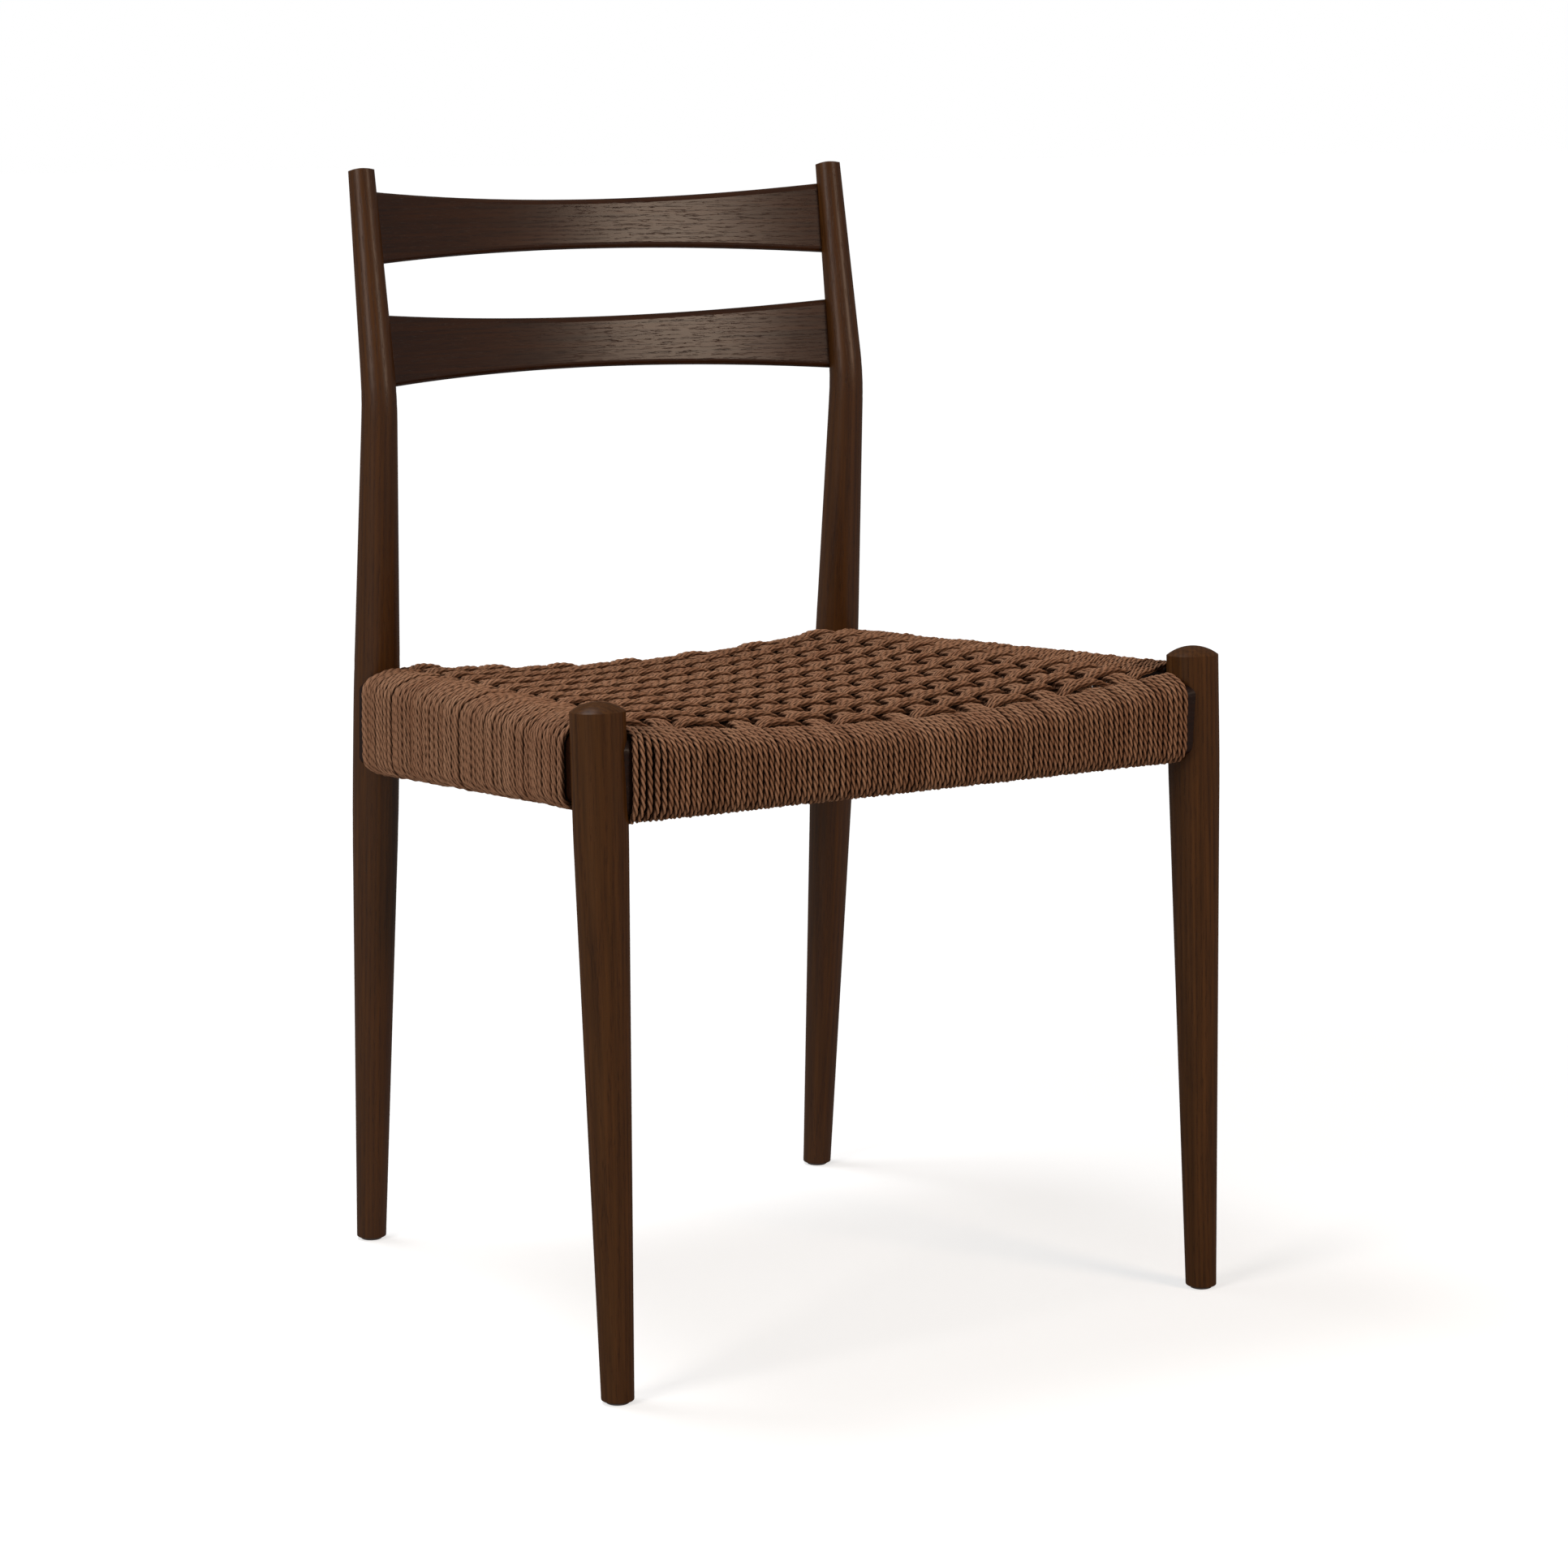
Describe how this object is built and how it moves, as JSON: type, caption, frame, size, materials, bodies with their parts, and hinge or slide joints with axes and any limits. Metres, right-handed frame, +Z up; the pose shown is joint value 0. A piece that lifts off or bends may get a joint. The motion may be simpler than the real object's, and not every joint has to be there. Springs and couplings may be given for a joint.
{
  "type": "dining chair",
  "caption": "Armless dining chair with turned tapered legs, a bowed ladder back and a dished seat woven from twisted cord over the rails.",
  "frame": {"origin": "on the floor, at the middle of the chair's outline seen from above", "axes": "+Z up, -Y the way the chair faces, +X to the right seen from the front"},
  "size_m": [0.5282, 0.4728, 0.8033],
  "materials": {
    "ash_wood": "dark walnut stain and satin oil on open-grained ash",
    "beech_dowel": "raw fluted beech, hidden in the joints",
    "steel_nail": "plain bright wire",
    "paper_cord": "twisted three-ply cord, brown, matt",
    "nylon_glide": "moulded nylon, slightly scuffed"
  },
  "bodies": {
    "root": {"front_leg_left": "ash_wood", "front_leg_right": "ash_wood", "rear_post_left": "ash_wood", "rear_post_right": "ash_wood", "front_rail": "ash_wood", "rear_rail": "ash_wood", "side_rail_left": "ash_wood", "side_rail_right": "ash_wood", "upper_slat": "ash_wood", "lower_slat": "ash_wood", "front_rail_dowels": "beech_dowel", "rear_rail_dowels": "beech_dowel", "side_rail_left_dowels": "beech_dowel", "side_rail_right_dowels": "beech_dowel", "front_rail_cord_nails": "steel_nail", "rear_rail_cord_nails": "steel_nail", "side_rail_left_cord_nails": "steel_nail", "side_rail_right_cord_nails": "steel_nail", "front_rail_cord": "paper_cord", "rear_rail_cord": "paper_cord", "side_rail_cord_left": "paper_cord", "side_rail_cord_right": "paper_cord", "seat_weft_cords": "paper_cord", "seat_warp_cords": "paper_cord", "foot_glide_front_left": "nylon_glide", "foot_glide_front_right": "nylon_glide", "foot_glide_rear_left": "nylon_glide", "foot_glide_rear_right": "nylon_glide"}
  },
  "joints": []
}
